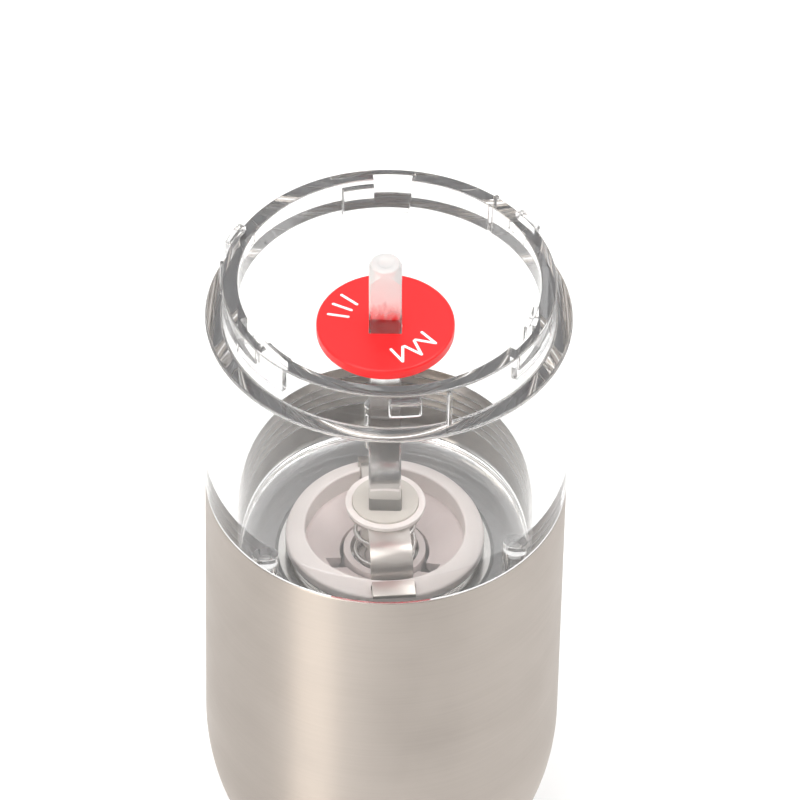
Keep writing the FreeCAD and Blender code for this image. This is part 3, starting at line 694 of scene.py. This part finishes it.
def build_burr_set():
    """The small pieces keep their CAD shape; the bridge, bush and washer also get broken edges."""
    for node, bevel, material in (
        ("grinder_housing", 0.0, WHITE),
        ("bridge", 0.12, STRIP),
        ("shaft_bush", 0.06, BUSH),
        ("bush_washer", 0.12, WHITE),
        ("rotor", 0.0, CERAMIC),
        ("stator", 0.0, CERAMIC),
    ):
        place(finished(node, bevel), node, material)


# ---- lower body -----------------------------------------------------------------------------------
def shell_arc(wall):
    """Outline points down the steel's rounding, on the outside or a wall's depth in."""
    steps = 24
    points = []
    for step in range(steps + 1):
        angle = math.radians(SHELL_ARC_SWEEP * step / steps)
        r = BODY_R - SHELL_ARC_R + (SHELL_ARC_R - wall) * math.cos(angle)
        points.append((r, SHELL_ARC_TOP_Z - (SHELL_ARC_R - wall) * math.sin(angle)))
    return points


def cone_point(arc, z):
    """Where the cone that runs on from an arc's end reaches a height."""
    end_r, end_z = arc[-1]
    return (end_r - (end_z - z) * math.tan(math.radians(SHELL_ARC_SWEEP)), z)


def build_steel():
    """Drawn and brushed steel sleeve with a rounded rim and a turned-in foot."""
    inner_r = BODY_R - SHELL_WALL
    lip_top = SHELL_FOOT_Z + SHELL_WALL
    outer = shell_arc(0)
    inner = shell_arc(SHELL_WALL)
    corner = cone_point(outer, SHELL_FOOT_Z)
    foot = rounded([outer[-1] + (0,), corner + (0.6,), (SHELL_LIP_R, SHELL_FOOT_Z, 0)])
    outline = rounded([(inner_r, RIM_Z, 0.15), (BODY_R, RIM_Z, 0.3), (BODY_R, RIM_Z - 3, 0)])
    outline += outer[:-1] + foot
    outline += [(SHELL_LIP_R, lip_top), cone_point(inner, lip_top)]
    outline += reversed(inner)
    steel = new_object("steel_brushed", lathe(outline, 512))
    true_normals(steel)
    place(steel, "steel_shell", STEEL)


build_hopper()
build_shaft()
build_disc()
build_print()
build_spring()
build_burr_set()
build_steel()


# ---- floor, light and camera ----------------------------------------------------------------------
def pale_floor():
    """A wide sheet of pale paper for the mill to stand on."""
    mesh = bpy.data.meshes.new("floor")
    half = 3.0
    corners = [(-half, -half, 0), (half, -half, 0), (half, half, 0), (-half, half, 0)]
    mesh.from_pydata(corners, [], [(0, 1, 2, 3)])
    floor = bpy.data.objects.new("floor", mesh)
    bpy.context.scene.collection.objects.link(floor)
    material, tree, shader = new_material("floor_paper", Base_Color=(0.93, 0.93, 0.925, 1), Roughness=0.8)
    floor.data.materials.append(material)


def studio_world():
    """Soft white surroundings, a little darker in front of the mill than behind it."""
    world = bpy.data.worlds.new("studio")
    bpy.context.scene.world = world
    world.use_nodes = True
    tree = world.node_tree
    coords = tree.nodes.new("ShaderNodeTexCoord")
    axes = tree.nodes.new("ShaderNodeSeparateXYZ")
    front_to_back = tree.nodes.new("ShaderNodeMapRange")
    front_to_back.inputs["From Min"].default_value = -1.0
    front_to_back.inputs["From Max"].default_value = 1.0
    ramp = tree.nodes.new("ShaderNodeValToRGB")
    ramp.color_ramp.elements[0].position = 0.2
    ramp.color_ramp.elements[0].color = (0.66, 0.65, 0.645, 1)
    ramp.color_ramp.elements[1].position = 0.55
    ramp.color_ramp.elements[1].color = (1, 1, 1, 1)
    tree.links.new(coords.outputs["Generated"], axes.inputs["Vector"])
    tree.links.new(axes.outputs["Y"], front_to_back.inputs["Value"])
    tree.links.new(front_to_back.outputs["Result"], ramp.inputs["Fac"])
    background = tree.nodes["Background"]
    background.inputs["Strength"].default_value = 1.1
    tree.links.new(ramp.outputs["Color"], background.inputs["Color"])


def softbox(name, where, aim, width, height, watts, tint=(1, 1, 1)):
    """A rectangular area light that faces a point."""
    data = bpy.data.lights.new(name, "AREA")
    data.shape = "RECTANGLE"
    data.size = width
    data.size_y = height
    data.energy = watts
    data.color = tint
    lamp = bpy.data.objects.new(name, data)
    lamp.location = where
    lamp.rotation_euler = (Vector(aim) - Vector(where)).to_track_quat("-Z", "Y").to_euler()
    bpy.context.scene.collection.objects.link(lamp)


def camera():
    """The viewpoint: a long lens, well above the rim, very slightly rolled."""
    elevation = math.radians(43.43)
    roll = math.radians(1.19)
    distance = 1.3052
    aim = Vector((2.14, 6.27, COLLAR_TOP_Z - 33.38)) * MM
    back = Vector((0, -math.cos(elevation), math.sin(elevation)))
    level = Vector((1, 0, 0))
    up = back.cross(level)
    right = level * math.cos(roll) + up * math.sin(roll)
    top = up * math.cos(roll) - level * math.sin(roll)
    data = bpy.data.cameras.new("camera")
    data.sensor_width = 36.0
    data.lens = 343.1
    data.clip_end = 50.0
    holder = bpy.data.objects.new("camera", data)
    bpy.context.scene.collection.objects.link(holder)
    stand = Matrix((right, top, back)).transposed().to_4x4()
    stand.translation = aim + back * distance
    holder.matrix_world = stand
    bpy.context.scene.camera = holder


# two soft lights high on either side light the hopper's inside, and a tall warm one to the left
# makes the bright stripe down the steel
pale_floor()
studio_world()
softbox("high_left", (-0.28, -0.4, 0.88), (0, 0, 0.1), 0.6, 0.6, 4.0)
softbox("high_right", (0.36, 0.0, 0.84), (0, 0, 0.1), 0.35, 0.35, 2.2)
softbox("warm_left", (-0.62, -0.79, 0.45), (0, 0, 0.1), 0.45, 0.9, 4.3, (1.0, 0.9, 0.78))
camera()

scene = bpy.context.scene
scene.view_settings.view_transform = "Standard"
scene.cycles.max_bounces = 64
scene.cycles.transmission_bounces = 48
scene.cycles.glossy_bounces = 48
